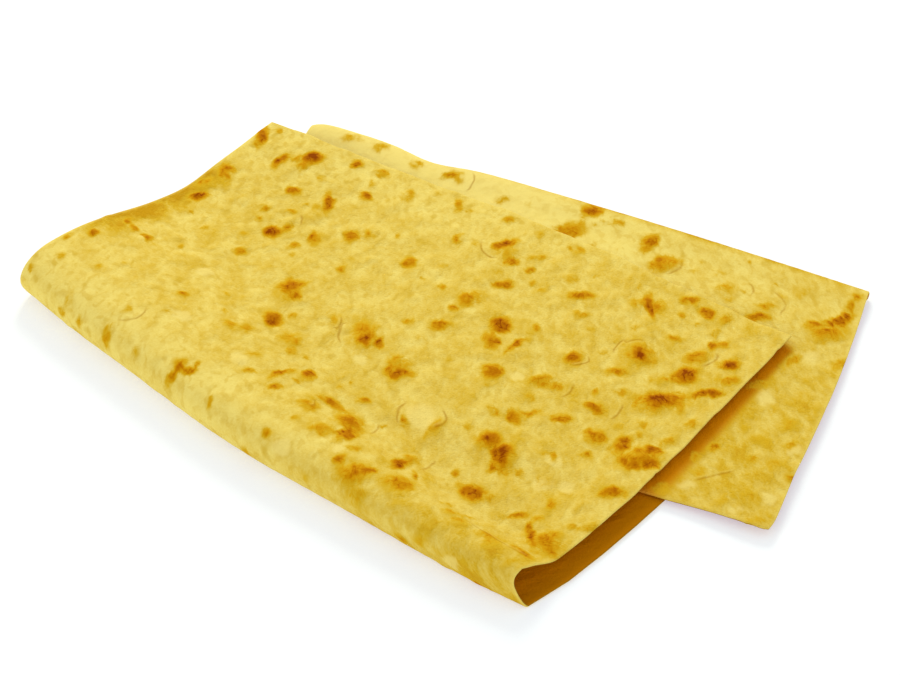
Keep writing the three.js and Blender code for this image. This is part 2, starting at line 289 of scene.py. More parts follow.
def far_fold_start(t):
    """In plan, the far fold's line moved in by the fold's radius, a bell-shaped dent and
    a corner that dies away, and moved out by a shallow sine."""
    line = mix(FAR_FOLD_ENDS[0], FAR_FOLD_ENDS[1], np.asarray(t)[..., None])
    dent = np.exp(-(((line[..., 0] - FAR_FOLD_DENT_AT) / FAR_FOLD_DENT_HALF_WIDTH) ** 2))
    corner = np.exp(-t / 0.012)
    back = FAR_FOLD_DENT * dent - FAR_FOLD_BOW * hump(t, 0.35, 1) + FAR_FOLD_CORNER * corner
    return line - far_normal * (back + mix(*FAR_FOLD_RADIUS, t))[..., None]


def bottom_point(t, v):
    """A straight run on the table from the roll's foot (v = 0) to the far fold (v = 1).
    Its right side swells like the top layer's."""
    roll = roll_at(t)
    foot = np.stack([roll["foot_x"], roll["front_y"] + roll["to_contact"]], -1)
    plan = mix(foot, far_fold_start(t), v[..., None])
    x = plan[..., 0] + BOTTOM_SIDE_BOW * smooth(t, 0.5, 1) * side_swell(v)
    return np.stack([x, plan[..., 1], np.full_like(x, THICKNESS / 2)], -1)


def far_fold_point(t, turn):
    """A half circle from the bottom layer (-90 degrees) up to the tucked one (90)."""
    angle = np.radians(turn)
    radius = mix(*FAR_FOLD_RADIUS, t)
    plan = far_fold_start(t) + far_normal * (radius * np.cos(angle))[..., None]
    z = THICKNESS / 2 + radius * (1 + np.sin(angle))
    return np.stack([plan[..., 0], plan[..., 1], z], -1)


print("far fold radius, mm:", FAR_FOLD_RADIUS)

# %% The tucked layer
FAR_FOLD_RELAX = 22.0  # the layer has come down this far from the fold
FLAP_LIFT = 1.2
FLAP_SIDE_BOW = 2.3
FLAP_EDGE_HOLLOW = 1.0
FLAP_CORNER = 1.6


def tucked_point(t, v):
    """A straight run in plan from the far fold (v = 0) to the free edge (v = 1), with a
    bulging right side, a shallow hollow in the edge and a rounded corner. In height it
    falls by a cosine hillside from the fold's top to the bottom layer, and the flap
    beyond that layer is lifted a little."""
    start = far_fold_start(t)
    hollow = FLAP_EDGE_HOLLOW * hump(t, 0.8, 0.99)
    corner = FLAP_CORNER * np.exp((t - 1) / 0.01)
    edge = mix(TUCKED_CORNERS[0], TUCKED_CORNERS[1], np.asarray(t)[..., None])
    edge = edge + tucked_normal * (hollow + corner)[..., None]
    length = np.linalg.norm(edge - start, axis=-1)
    plan = mix(start, edge, v[..., None])
    bulge = FLAP_SIDE_BOW * hump(v, 0, 0.8) * smooth(t, 0.5, 1)
    bulge = bulge - FLAP_CORNER * np.exp((v - 1) / 0.02) * smooth(t, 0.9, 1)
    x = plan[..., 0] + tucked_normal[1] * bulge
    y = plan[..., 1] - tucked_normal[0] * bulge
    low = 1.5 * THICKNESS + AIR + FLAP_LIFT * smooth(x, 12, 50)
    fold_top = THICKNESS / 2 + 2 * mix(*FAR_FOLD_RADIUS, t)
    z = mix(low, fold_top, hillside(v * length / FAR_FOLD_RELAX))
    return np.stack([x, y, z], -1)


print("flap corner, mm:", np.round(tucked_point(np.ones(1), np.ones(1))[0], 1))

# %% [markdown]
# ## The grid
#
# The sheet's middle is a grid: columns across, rows along the path. Columns are 1.8 mm
# apart. Rows are 2 mm apart on the top layer and half that round the roll, 3.5 mm on the
# tucked layer, and 20 mm on the flat bottom. Near the free borders there are a few extra
# rows and columns, some hundredths to tenths of a millimetre apart. There the thickness
# will shrink to nothing along a quarter circle, which closes the sheet with a rounded rim.

# %% Rows and columns of the sheet
RIM_STEPS = np.array([0.0, 0.05, 0.18, 0.4])  # mm from a free border
RIM_RADIUS = THICKNESS / 2
CORE_COLUMNS = 192
TOP_ROWS, ROLL_ROWS, BOTTOM_ROWS, FAR_FOLD_ROWS, TUCKED_ROWS = 104, 26, 12, 8, 58
TOP_LENGTH, TUCKED_LENGTH = 200.0, 185.0  # roughly
TOP, ROLL, BOTTOM, FAR_FOLD, TUCKED = range(5)

rim = RIM_STEPS / SHEET_WIDTH
inside = np.linspace(RIM_RADIUS / SHEET_WIDTH, 1 - RIM_RADIUS / SHEET_WIDTH, CORE_COLUMNS)
t = np.concatenate([rim, inside, 1 - rim[::-1]])



def from_free_edge(length, count):
    """Shares of a layer of that length: the rim's steps, then even ones to its far end."""
    return np.concatenate([RIM_STEPS / length, np.linspace(RIM_RADIUS / length, 1, count)])


top_v = from_free_edge(TOP_LENGTH, TOP_ROWS)[:-1]
tucked_v = 1 - from_free_edge(TUCKED_LENGTH, TUCKED_ROWS)[::-1]
roll_turn = np.linspace(90, 270, ROLL_ROWS + 1)[:-1]
bottom_v = np.linspace(0, 1, BOTTOM_ROWS + 1)[:-1]
fold_turn = np.linspace(-90, 90, FAR_FOLD_ROWS + 1)[:-1]

stretches = [
    (TOP, top_point, top_v),
    (ROLL, roll_point, roll_turn),
    (BOTTOM, bottom_point, bottom_v),
    (FAR_FOLD, far_fold_point, fold_turn),
    (TUCKED, tucked_point, tucked_v),
]
middle = np.concatenate([
    place(*np.broadcast_arrays(t[None, :], along[:, None])) for _, place, along in stretches
])
stretch = np.concatenate([np.full(len(along), kind) for kind, _, along in stretches])[:, None]
rows, columns = middle.shape[:2]
print("grid:", rows, "rows by", columns, "columns")

# %% [markdown]
# ## Places on the bread
#
# A toast mark is found by two lengths measured on the bread itself, as with a tape:
# "across" from the left side edge, and "behind" from the roll's crest, back over the top
# layer. Over the front it goes below zero. On the tucked layer the second length starts
# at the far fold instead. Both come from adding up the distances between the rows.

# %% Lengths along the sheet
steps = np.linalg.norm(np.diff(middle, axis=0), axis=-1)
travelled = np.concatenate([np.zeros((1, columns)), np.cumsum(steps, axis=0)])
crest_row = int(np.argmax(stretch[:, 0] == ROLL))
fold_row = int(np.argmax(stretch[:, 0] == FAR_FOLD)) + FAR_FOLD_ROWS // 2
across = np.broadcast_to(t * SHEET_WIDTH, (rows, columns))
behind = travelled[crest_row] - travelled
from_fold = travelled - travelled[fold_row]
print("the whole sheet is", round(float(travelled[-1].mean())), "mm long by", SHEET_WIDTH)


# %% Seeded roughness
def roughness(x, y, cell, seed):
    """Smooth random heights from -0.5 to 0.5: seeded numbers on the corners of square
    cells, blended inside each cell by the smooth curve in both directions."""
    table = np.random.default_rng(seed).random((64, 64)) - 0.5
    column, row = np.floor(x / cell).astype(int), np.floor(y / cell).astype(int)
    u, v = smooth(x / cell - column, 0, 1), smooth(y / cell - row, 0, 1)
    near = mix(table[row % 64, column % 64], table[row % 64, (column + 1) % 64], u)
    far = mix(table[(row + 1) % 64, column % 64], table[(row + 1) % 64, (column + 1) % 64], u)
    return mix(near, far, v)


print("roughness, at most:", round(float(roughness(across, behind, cell=8.0, seed=1).max()), 2))

# %% [markdown]
# ## Toast marks
#
# Each mark is one bubble that met the heat: its place on the bread, how long and wide it
# is, which way it lies, and how hot it got, from 0.2 for a faint yellow blush to 1.1 for
# nearly burnt. Most lie the same way, because the dough was stretched that way when it
# was thrown onto the wall. They could be scattered at random, and on the sides that are
# hardly seen they are, but a bread is known by its marks, so here they are placed one by
# one. Turn is in degrees from "across" towards the second length, and a mark that is
# given without a turn lies the usual way of its layer.

# %% Marks on the top layer and the roll
TOP_USUAL_TURN = 42
# across, behind, length, width, turn (where it isn't the usual one), heat in hundredths
TOP_MARKS = [
    (4, 11, 7, 3.5, 75, 60), (9, 25, 7, 5, 65), (11, 50, 6, 5, 0, 50), (18, 48, 8, 5, 20, 55),
    (29, 51, 9, 5, 10, 60), (12, 102, 11, 5, 45, 95), (37, 87, 6, 4, 35),
    (44, 63, 6, 3, 126, 40), (50, 123, 8, 4, 55), (55, 113, 6, 4, 42), (68, 113, 10, 8, 95),
    (71, 122, 8, 4, 75, 50), (67, 89, 8, 5, 42), (80, 33, 9, 4, 55), (73, 1, 8, 5, 60, 30),
    (114, 37, 8, 7, 40), (104, 43, 5, 4, 35), (111, 86, 16, 13, 50), (109, 90, 16, 5, 55, 70),
    (117, 87, 9, 6, 10, 62), (121, 64, 11, 10, 85), (128, 75, 8, 5, 35),
    (41, -15, 8, 6, 126, 30), (75, -17, 12, 4.5, 96, 62), (55, -27, 7, 4, 20, 40),
    (15, -130, 7, 4, 0, 60), (96, -13, 6, 5, 30), (123, -6, 7, 6, 72),
    (125, -10, 12, 4, 74, 78), (130, -4, 9, 3.5, 35, 70), (130, 1, 6, 3, 100, 60),
    (150, 20, 6, 5, 55), (6, 158, 11, 8, 126, 85), (9, 169, 5, 4, 40),
    (12, 125, 11, 10, 126, 60), (14, 124, 6, 4, 72), (29, 156, 12, 6, 75, 66),
    (35, 163, 8, 4, 60, 45), (42, 170, 14, 6, 60, 105), (64, 186, 7, 5, 72),
    (79, 191, 9, 6, 48), (58, 162, 7, 3, 35), (53, 144, 9, 5, 70), (74, 151, 13, 7, 120, 76),
    (86, 172, 8, 6, 74), (104, 189, 9, 8, 126, 40), (115, 204, 6, 4, 30),
    (131, 206, 9, 6, 126, 50), (64, 131, 8, 4, 42), (85, 113, 9, 3.5, 50), (90, 108, 7, 3, 30),
    (90, 127, 9, 9, 52), (87, 127, 6, 4, 126, 68), (106, 141, 10, 8, 66),
    (82, 182, 7, 4, 100, 36), (125, 161, 7, 4, 36), (116, 151, 4, 3, 40), (112, 148, 7, 7, 40),
    (117, 131, 5, 3, 30), (145, 150, 11, 6, 68), (152, 183, 8, 6, 126, 66),
    (138, 206, 6, 3, 32), (160, 161, 4, 3, 40), (172, 147, 5, 4, 50), (161, 144, 3, 3, 0, 40),
    (191, 151, 14, 10, 50, 58), (196, 171, 13, 5, 62), (188, 138, 5, 4, 62),
    (121, 120, 6, 5, 40), (169, 89, 18, 17, 46), (169, 88, 9, 8, 98), (177, 91, 7, 3, 126, 75),
    (148, 87, 9, 7, 126, 35), (196, 86, 14, 13, 50), (202, 81, 13, 5.5, 45, 86),
    (195, 79, 5, 3, 126, 60), (193, 88, 5, 4, 50), (177, 115, 5, 3, 45), (193, 124, 12, 7, 60),
    (191, 108, 9, 4, 25), (170, 45, 8, 7, 78), (161, 33, 14, 4, 72, 76),
    (168, 22, 7, 4, 60, 62), (169, 36, 6, 3, 50), (187, 25, 12, 9, 45),
    (192, 39, 16, 5, 15, 52), (209, 32, 17, 14, 126, 60), (217, 20, 14, 6, 85, 85),
    (207, 14, 15, 9, 42), (227, 13, 10, 4, 40), (229, 1, 7, 5, 60), (241, -3, 18, 11, 60),
    (244, 3, 12, 5, 60, 72), (226, 55, 6, 5, 126, 60), (239, 62, 10, 5, 85, 40),
    (247, 27, 16, 5, 82, 88), (257, 23, 9, 3.5, 131, 60), (258, 9, 16, 10, 60),
    (263, 71, 13, 7, 50, 74), (253, 90, 7, 6, 45), (250, 72, 5, 3, 35), (234, 112, 11, 8, 68),
    (213, 104, 5, 4, 30), (189, -7, 5, 4, 60, 50), (181, -21, 8, 4, 90, 40),
    (193, 10, 6, 4, 36), (188, 59, 4, 4, 36), (201, 52, 9, 4, 50), (156, 56, 4, 3, 42),
    (143, 60, 15, 12, 36), (142, 31, 12, 4, 32), (174, 197, 14, 5.5, 60, 82),
    (187, 187, 10, 5, 78), (196, 201, 13, 4, 45), (199, 190, 6, 4, 55), (207, 182, 4, 4, 35),
    (215, 144, 11, 9, 98), (219, 132, 9, 9, 62), (222, 131, 6, 5, 85), (232, 154, 5, 5, 48),
    (232, 136, 15, 4.5, 70, 72), (233, 190, 15, 5, 60), (230, 209, 4, 3, 40),
    (216, 180, 6, 4, 30), (245, 179, 9, 4, 34), (267, 207, 14, 4, 131, 90),
    (263, 206, 12, 6, 30, 45), (272, 210, 11, 8, 50), (280, 224, 11, 5, 70),
    (292, 222, 7, 7, 131, 74), (285, 212, 5, 4, 52), (305, 222, 7, 7, 131, 50),
    (306, 211, 7, 5, 126, 42), (310, 200, 6, 5, 126, 72), (314, 202, 9, 5, 60, 56),
    (326, 191, 13, 6, 74), (309, 188, 14, 8, 50), (312, 172, 13, 9, 95), (332, 178, 12, 5, 60),
    (283, 172, 19, 15, 46), (283, 171, 10, 8, 90), (259, 149, 11, 8, 60, 56),
    (260, 148, 6, 5, 60, 82), (283, 153, 11, 6, 56), (258, 124, 16, 8, 46),
    (266, 124, 9, 5, 64), (283, 134, 5, 3, 126, 50), (292, 141, 8, 4, 38), (299, 159, 6, 4, 30),
    (314, 147, 28, 12, 60), (314, 147, 20, 8, 110), (328, 164, 19, 4.5, 80),
    (335, 139, 8, 5, 60, 46), (290, 124, 11, 6, 20, 70), (281, 107, 11, 5, 76),
    (264, 94, 8, 7, 126, 72), (269, 99, 13, 3.5, 50, 60), (271, 188, 7, 4, 32),
    (291, 194, 12, 4, 15, 42), (162, 215, 8, 5, 52), (277, 68, 16, 10, 108, 88),
    (277, 60, 9, 6, 60, 60), (295, 82, 5, 4, 55), (306, 94, 7, 4, 52), (301, 106, 12, 8, 56),
    (297, 107, 5, 4, 66), (315, 108, 13, 6, 80, 90), (327, 105, 19, 12, 60),
    (330, 112, 9, 5, 15, 90), (334, 103, 8, 6, 90), (328, 98, 7, 5, 85), (321, 99, 6, 5, 60),
    (332, 122, 12, 5, 60, 42), (317, 120, 7, 4, 60, 40), (331, 76, 12, 6, 72),
    (289, 64, 5, 4, 126, 35), (314, 55, 6, 5, 55), (282, 38, 13, 9, 88), (288, 42, 8, 5, 40),
    (301, 67, 8, 8, 22), (305, 40, 11, 4, 74), (327, 27, 23, 17, 42),
    (321, 28, 19, 4.5, 127, 84), (328, 31, 8, 5, 126, 50), (335, 24, 8, 6, 45),
    (328, 12, 13, 4, 0, 60), (330, 36, 6, 6, 42), (331, 45, 5, 5, 45), (337, 49, 9, 5, 60, 42),
    (314, 43, 5, 4, 38), (250, -8, 14, 7, 38), (271, -3, 10, 4, 25), (266, 44, 4, 4, 50),
    (288, -11, 9, 5, 32), (277, -17, 8, 5, 0, 50), (259, -25, 5, 3, 0, 40),
    (313, -10, 6, 5, 26), (328, -19, 6, 3, 0, 40), (296, 8, 9, 4, 52), (289, 10, 10, 5, 40),
    (294, 15, 10, 2.5, 60, 42), (312, 10, 13, 7, 10, 48), (220, -14, 6, 4, 30),
    (8, 110, 15, 7, 60, 42), (4, 110, 5, 4, 60, 50), (42, 162, 9, 5, 70, 55),
    (19, 89, 5, 3, 32), (39, -22, 6, 4, 60, 42), (54, -20, 6, 4, 60, 40), (144, 59, 5, 5, 50),
    (198, 37, 8, 5, 40), (243, -1, 8, 6, 74), (246, 35, 11, 7, 60, 46),
    (314, -21, 9, 4, -20, 55), (180, 193, 12, 14, 131, 36), (192, 151, 6, 5, 66),
    (92, 57, 6, 4, 34), (66, 141, 5, 3, 34), (72, 145, 6, 4, 36), (56, 99, 6, 4, 30),
    (42, 23, 6, 4, 26), (14, -1, 7, 5, 60, 34), (6, -16, 5, 4, 90, 50), (35, 10, 5, 4, 30),
    (89, 17, 6, 8, 131, 32), (123, 42, 9, 7, 60, 42), (148, 53, 8, 6, 36),
    (154, -11, 6, 3, 110, 42), (186, 52, 5, 4, 30), (242, 54, 7, 4, 60, 26),
    (220, 45, 4, 3, 40), (220, 198, 9, 6, 30), (209, 219, 6, 8, 131, 40), (204, 220, 5, 4, 42),
    (254, 217, 4, 3, 131, 50), (269, 162, 6, 3, 36), (227, 208, 4, 3, 30), (188, 178, 4, 3, 30),
    (161, 188, 6, 4, 26), (184, 218, 6, 5, 26), (260, 109, 6, 4, 60, 30), (240, 102, 6, 3, 30),
    (263, 107, 5, 3, 36), (241, 175, 8, 6, 36), (253, 172, 5, 4, 30), (270, 187, 6, 3, 36),
    (296, 211, 5, 4, 30), (305, 162, 7, 4, 42), (314, 127, 8, 4, 36), (306, 120, 7, 4, 60, 36),
    (324, 144, 6, 4, 60, 34), (272, 40, 6, 5, 30), (290, 81, 4, 4, 30), (275, 82, 6, 5, 24),
    (282, 17, 8, 4, 60, 30), (318, 5, 10, 5, 60, 30), (300, -11, 6, 5, 60, 26),
    (334, -1, 8, 4, 60, 34), (274, -10, 8, 5, 60, 26),
]
print(len(TOP_MARKS), "marks on the top layer and the roll")

# %% Marks on the tucked layer
TUCKED_USUAL_TURN = -27
# across, from the far fold, length, width, turn (unless usual), heat in hundredths
TUCKED_MARKS = [
    (26, 9, 9, 7, 42), (32, 8, 5, 4, 76, 30), (46, 7, 8, 6, -20, 56), (73, 9, 8, 5, 48),
    (95, 10, 9, 5, 70), (100, 13, 5, 4, 76, 42), (127, 19, 7, 5, 32), (143, 18, 5, 4, 30),
    (179, 7, 10, 9, 76), (172, 27, 16, 10, 60), (187, 16, 7, 4, 42), (196, 12, 7, 4, 52),
    (203, 30, 3, 3, 0, 40), (217, 19, 14, 7, 85, 66), (231, 33, 17, 11, -30, 52),
    (248, 20, 6, 3, 25), (248, 30, 5, 4, 30), (266, 38, 12, 9, 36), (275, 33, 6, 5, 36),
    (273, 10, 5, 3, 76, 30), (291, 39, 11, 5, 40), (290, 50, 13, 6, 70), (300, 59, 6, 5, 55),
    (306, 19, 8, 7, 34), (319, 41, 10, 5, 66), (327, 35, 12, 5, 100), (332, 28, 8, 5, -48, 98),
    (332, 18, 10, 4, 90, 68), (326, 46, 16, 12, 52), (334, 9, 8, 6, 45), (338, 65, 8, 7, 42),
    (314, 75, 12, 5, -62, 48), (304, 100, 10, 5, 35), (331, 135, 5, 5, 0, 45),
    (318, 153, 6, 5, 45), (327, 121, 12, 6, 76, 30), (330, 153, 9, 9, 0, 30),
    (299, 154, 10, 5, 50), (293, 165, 6, 5, 60), (338, 158, 5, 5, 0, 42), (334, 192, 10, 6, 30),
    (326, 178, 14, 7, 30, 26), (317, 115, 10, 6, 76, 24), (337, 104, 9, 5, 76, 20),
    (308, 125, 9, 6, 22), (167, 28, 7, 4, 62), (227, 33, 8, 5, 66), (325, 44, 8, 5, 72),
    (177, 19, 6, 5, 76, 34), (188, 36, 6, 5, 30), (260, 27, 6, 4, 26), (290, 21, 6, 5, 28),
    (271, 43, 8, 5, 26), (329, 198, 14, 5, 26), (313, 190, 10, 5, 24), (296, 172, 10, 6, 34),
    (315, 182, 8, 7, 76, 28), (319, 137, 8, 12, 76, 24), (306, 135, 9, 6, 24),
    (283, 194, 9, 6, 34), (326, 97, 8, 8, 76, 22), (330, 82, 6, 10, 76, 24),
    (298, 29, 7, 5, 30), (329, -9, 8, 4, 30), (307, 1, 7, 4, 28),
]
print(len(TUCKED_MARKS), "marks on the tucked layer")


# %% Marks on the sides that are hardly seen
def in_full(marks, usual_turn):
    """Each mark with all six numbers, the turn as the fifth, and with its heat in ones."""
    return [(*mark[:4], *(mark[4:-1] or (usual_turn,)), mark[-1] / 100) for mark in marks]


def scattered_marks(count, length, seed):
    """Marks spread evenly over a stretch of that length: places by seeded draws in equal
    strips, sizes and heats by draws that favour the small and the pale."""
    draw = np.random.default_rng(seed)
    strips = (np.arange(count) + draw.random(count)) / count
    size = 4 + 11 * draw.random(count) ** 1.6
    return list(zip(
        SHEET_WIDTH * draw.random(count), length * strips, size,
        size * draw.uniform(0.4, 0.85, count), draw.normal(TOP_USUAL_TURN, 22, count),
        0.3 + 0.6 * draw.random(count) ** 1.4,
    ))


UNDERSIDE_MARKS = scattered_marks(110, 330.0, seed=11)
INNER_MARKS = scattered_marks(230, 760.0, seed=23)
print(len(UNDERSIDE_MARKS), "marks below,", len(INNER_MARKS), "inside the fold")

# %% [markdown]
# ## From marks to fields
#
# The mesh has a point every 2 mm or so, which is too coarse for the crisp edge of a burnt
# bubble. So the points don't carry a colour. They carry a smooth field that rises to the
# mark's heat in its middle and dies away well outside it, and the material cuts a crisp
# and frayed line out of it later. The same distances raise the bubbles: a mark is
# toasted because it stood up.

# %% Heat and lift of the marks
SPREAD = 1.85  # a mark's glow ends this many times as far out as its listed rim
FRAY = 3.0  # mm that a mark's outline strays
PULL = 1.35  # the dough was pulled this much longer
PULL_TURN = math.radians(131)  # this way
ROUND_THE_ROLL = 40.0  # mm from the crest, where the marks below begin


def inside_mark(x, y, mark):
    """How far a point is from a mark's middle, as a share of the way to its rim. The
    ellipse's two half widths divide the distance along and beside its length, after the
    share of the distance that lies the way of the pull has been shortened again."""
    x, y = x - mark[0], y - mark[1]
    pulled = (1 - 1 / PULL) * (x * math.cos(PULL_TURN) + y * math.sin(PULL_TURN))
    x, y = x - pulled * math.cos(PULL_TURN), y - pulled * math.sin(PULL_TURN)
    turn = math.radians(mark[4])
    along = x * math.cos(turn) + y * math.sin(turn)
    beside = y * math.cos(turn) - x * math.sin(turn)
    return np.hypot(along / (mark[2] / 2), beside / (mark[3] / 2))


def heat_and_lift(x, y, marks, seed):
    """Heat: the hottest mark at each point. Six tenths of a mark's heat glow out from its
    middle, and half of it from a spot a third of a width to one side, both as cosine
    hills. Lift in mm: each bubble is a cosine hill a third wider than its mark, and the
    highest one counts."""
    side = np.random.default_rng(seed).uniform(0, 2 * math.pi, len(marks))
    frayed_x = x + FRAY * roughness(x, y, 4.5, seed)
    frayed_y = y + FRAY * roughness(x, y, 4.5, seed + 1)
    heat, lift = np.zeros_like(x), np.zeros_like(x)
    for mark, turn in zip(marks, side):
        off_x, off_y = 0.33 * mark[3] * math.cos(turn), 0.33 * mark[3] * math.sin(turn)
        glow = hillside(inside_mark(frayed_x, frayed_y, mark) / SPREAD)
        spot = hillside(inside_mark(frayed_x - off_x, frayed_y - off_y, mark) / (0.75 * SPREAD))
        heat = np.maximum(heat, mark[5] * (0.62 * glow**0.85 + 0.5 * spot))
        height = 0.09 * min(mark[2], 1.6 * mark[3]) + 0.2
        lift = np.maximum(lift, height * hillside(inside_mark(x, y, mark) / 1.35))
    return heat, lift


upper = np.isin(stretch, (TOP, ROLL))
back = np.isin(stretch, (FAR_FOLD, TUCKED))


def by_layer(on_top, on_tucked, elsewhere):
    """The first value on the top layer and the roll, the second on the tucked layer and
    its fold, the third everywhere else."""
    return np.where(upper, on_top, np.where(back, on_tucked, elsewhere))


top_marks = in_full(TOP_MARKS, TOP_USUAL_TURN)
tucked_marks = in_full(TUCKED_MARKS, TUCKED_USUAL_TURN)
top_heat, top_lift = heat_and_lift(across, behind, top_marks, seed=31)
tucked_heat, tucked_lift = heat_and_lift(across, from_fold, tucked_marks, seed=37)
under_heat = heat_and_lift(across, -behind - ROUND_THE_ROLL, UNDERSIDE_MARKS, seed=41)[0]
inner_heat = heat_and_lift(across, travelled, INNER_MARKS, seed=43)[0]
upper_heat = top_heat * mix(0.85, 1.0, smooth(behind, -5, 15))
outer_heat = by_layer(upper_heat, tucked_heat, under_heat)
print("hottest point:", round(float(outer_heat.max()), 2))

# %% [markdown]
# ## Pale bubbles, creases and waves
#
# Between the marks there are many low bubbles that never reached the heat. Some burst or
# sank and left a crease round one side, an arc like a fingernail's: a fine line of painted
# shade with a painted highlight on its lip. Both are given as places again. The sheet also
# sways slowly, as any thin bread does once it has cooled. Where it is stretched round a
# fold it is calmer, and where another layer lies on it there is no room for a bubble at all.

# %% Pale bubbles and creases
# layer, across, second length, length, width, turn
PALE_BUBBLES = [
    (TOP, 229, 64, 20, 17, 42), (TOP, 223, 7, 6, 5, 42), (TOP, 296, 80, 10, 7, 42),
    (TOP, 301, 66, 11, 9, 42), (TOP, 311, 70, 10, 8, 42), (TOP, 140, 22, 13, 9, 42),
    (TOP, 306, -13, 9, 7, 60), (TOP, 201, -8, 12, 8, 42), (TOP, 246, 118, 10, 6, 42),
    (TOP, 178, 75, 9, 6, 42), (TOP, 70, 60, 12, 8, 42), (TOP, 96, 20, 14, 8, 42),
    (TUCKED, 292.5, 184.6, 9, 6, -27), (TUCKED, 335, 175, 10, 8, 76),
    (TUCKED, 334, 137, 9, 8, 76), (TUCKED, 309, 107, 12, 7, 60), (TUCKED, 320, 191, 9, 5, -27),
    (TUCKED, 280, 188, 6, 5, -27), (TUCKED, 322, 66, 12, 9, 30),
]
# layer, middle across, middle along, radius, from and to angle
CREASES = [
    (TOP, 229, 64, 11.5, -20, 60), (TOP, 229, 64, 11.5, 170, 250), (TOP, 166, 90, 13, 175, 245),
    (TOP, 143, 84, 9, -10, 60), (TOP, 283, 172, 12, 150, 215), (TOP, 308, 190, 9.5, -40, 40),
    (TOP, 290, 127, 11, -30, 45), (TOP, 260, 126, 13, -25, 25), (TOP, 258, 150, 8, -60, 30),
    (TOP, 245, 38, 10, -30, 35), (TOP, 209, 36, 12, -5, 45), (TOP, 173, 197, 12, 210, 300),
    (TOP, 281, 174, 7, 100, 190), (TOP, 68, 125, 9, 20, 80), (TOP, 186, 27, 3.5, -60, 90),
    (TUCKED, 288, 38, 12, -70, 20), (TUCKED, 276, 31, 5.5, -70, 30),
    (TUCKED, 229, 29, 10.5, -10, 60), (TUCKED, 92, 14, 15.5, -28, 28),
    (TUCKED, 222, 85, 120, 42, 52), (TOP, 70, 3, 10.5, -65, 35), (TOP, 330, 160, 150, 257, 271),
]


def frayed_place(layer, stray, seed):
    """Lengths along the sheet as measured for that layer, moved to and fro by roughness
    times stray, in mm, so that what is drawn with them has a frayed outline."""
    x, y = (across, behind) if layer == TOP else (across, from_fold)
    x = x + stray * roughness(x, y, 5.0, seed)
    return x, y + stray * roughness(x, y, 5.0, seed + 1)


def crease_field(layer):
    """Two fields. The signed distance in mm from the nearest crease is the distance from
    its middle less its radius. The strength is 1 along the arc, and dies away at its ends
    and a few millimetres to either side."""
    x, y = frayed_place(layer, stray=2.4, seed=51)
    nearest = np.full_like(x, 99.0)
    distance, strength = np.full_like(x, 9.0), np.zeros_like(x)
    for kind, middle_x, middle_y, radius, start, end in CREASES:
        if kind != layer:
            continue
        away = np.hypot(x - middle_x, y - middle_y) - radius
        angle = np.degrees(np.arctan2(y - middle_y, x - middle_x))
        off = np.abs((angle - (start + end) / 2 + 180) % 360 - 180)
        here = 1 - smooth(off, 0.35 * (end - start), 0.55 * (end - start))
        here = here * (1 - smooth(np.abs(away), 2.5, 4.5))
        rank = np.abs(away) + 12 * (1 - here)
        distance = np.where(rank < nearest, away, distance)
        strength = np.where(rank < nearest, here, strength)
        nearest = np.minimum(rank, nearest)
    return distance, strength


def pale_field(layer):
    """1 in the middle of the nearest pale bubble, falling with the square to its rim,
    with an outline that strays."""
    x, y = frayed_place(layer, stray=4.0, seed=53)
    pale = np.zeros_like(x)
    for kind, *bubble in PALE_BUBBLES:
        if kind == layer:
            pale = np.maximum(pale, 1 - inside_mark(x, y, bubble) ** 2)
    return pale


top_crease, tucked_crease = crease_field(TOP), crease_field(TUCKED)
crease = by_layer(top_crease[0], tucked_crease[0], 9.0)
crease_strength = by_layer(top_crease[1], tucked_crease[1], 0.0)
# painted light on the tucked layer near the far fold at the left, where it lies in shade
painted_light_by_the_fold = 0.7 * (1 - smooth(from_fold, 28, 60)) * (1 - smooth(across, 100, 220))
pale_and_painted_light_back = np.maximum(pale_field(TUCKED), painted_light_by_the_fold)
pale_part = by_layer(pale_field(TOP), pale_and_painted_light_back, 0.0)
print("points in a crease:", int(((np.abs(crease) < 1) & (crease_strength > 0.5)).sum()))


# %% Relief of the sheet
def low_bubbles(x, y, count, seed):
    """Many low bubbles: seeded places in strips from 60 mm below zero to 250 above, each
    a cosine hill to the power 0.7 with an outline that strays. The highest one counts."""
    draw = np.random.default_rng(seed)
    height = np.zeros_like(x)
    for i in range(count):
        place_x = SHEET_WIDTH * draw.random()
        place_y = mix(-60, 250, (i + draw.random()) / count)
        radius, rise = draw.uniform(3, 9), draw.uniform(0.2, 1.1)
        away = np.hypot(x - place_x, y - place_y) + 2.5 * roughness(x, y, 4.0, seed + 9)
        height = np.maximum(height, rise * hillside(away / radius) ** 0.7)
    return height


def waves(x, y):
    """Three slow sines of x, y and x + y, 61, 47 and 38 mm long, 0 to 0.8 mm high."""
    three = np.sin(x / 61 * 2 * np.pi) + np.sin(y / 47 * 2 * np.pi + 1.3)
    return 0.8 * (three + np.sin((x + y) / 38 * 2 * np.pi + 2.1) + 3) / 6


plan_x, plan_y = middle[..., 0], middle[..., 1]
sway = waves(plan_x, plan_y)
bubbles = low_bubbles(across, np.where(back, from_fold, behind), count=420, seed=61)
edge_share = (plan_x - TOP_CORNERS[0, 0]) / (TOP_CORNERS[1, 0] - TOP_CORNERS[0, 0])
top_edge_y = mix(TOP_CORNERS[0, 1], TOP_CORNERS[1, 1], edge_share)
past_top_edge = plan_y - top_edge_y - top_edge_swell(np.clip(edge_share, 0, 1))
bare = np.maximum(smooth(past_top_edge, 3, 14), smooth(plan_x, 14, 40))
calm = np.where(back, 1 - smooth(from_fold, 28, 60), 0.7 * (1 - smooth(behind, -5, 25)))
top_relief = sway + np.maximum(top_lift, bubbles)
roll_relief = 0.6 * smooth(behind, -60, -10) * np.maximum(top_lift, bubbles)
tucked_relief = bare * (0.8 * sway + np.maximum(tucked_lift, (1 - 0.7 * calm) * bubbles))
past_crest = smooth(behind, 0, 45)
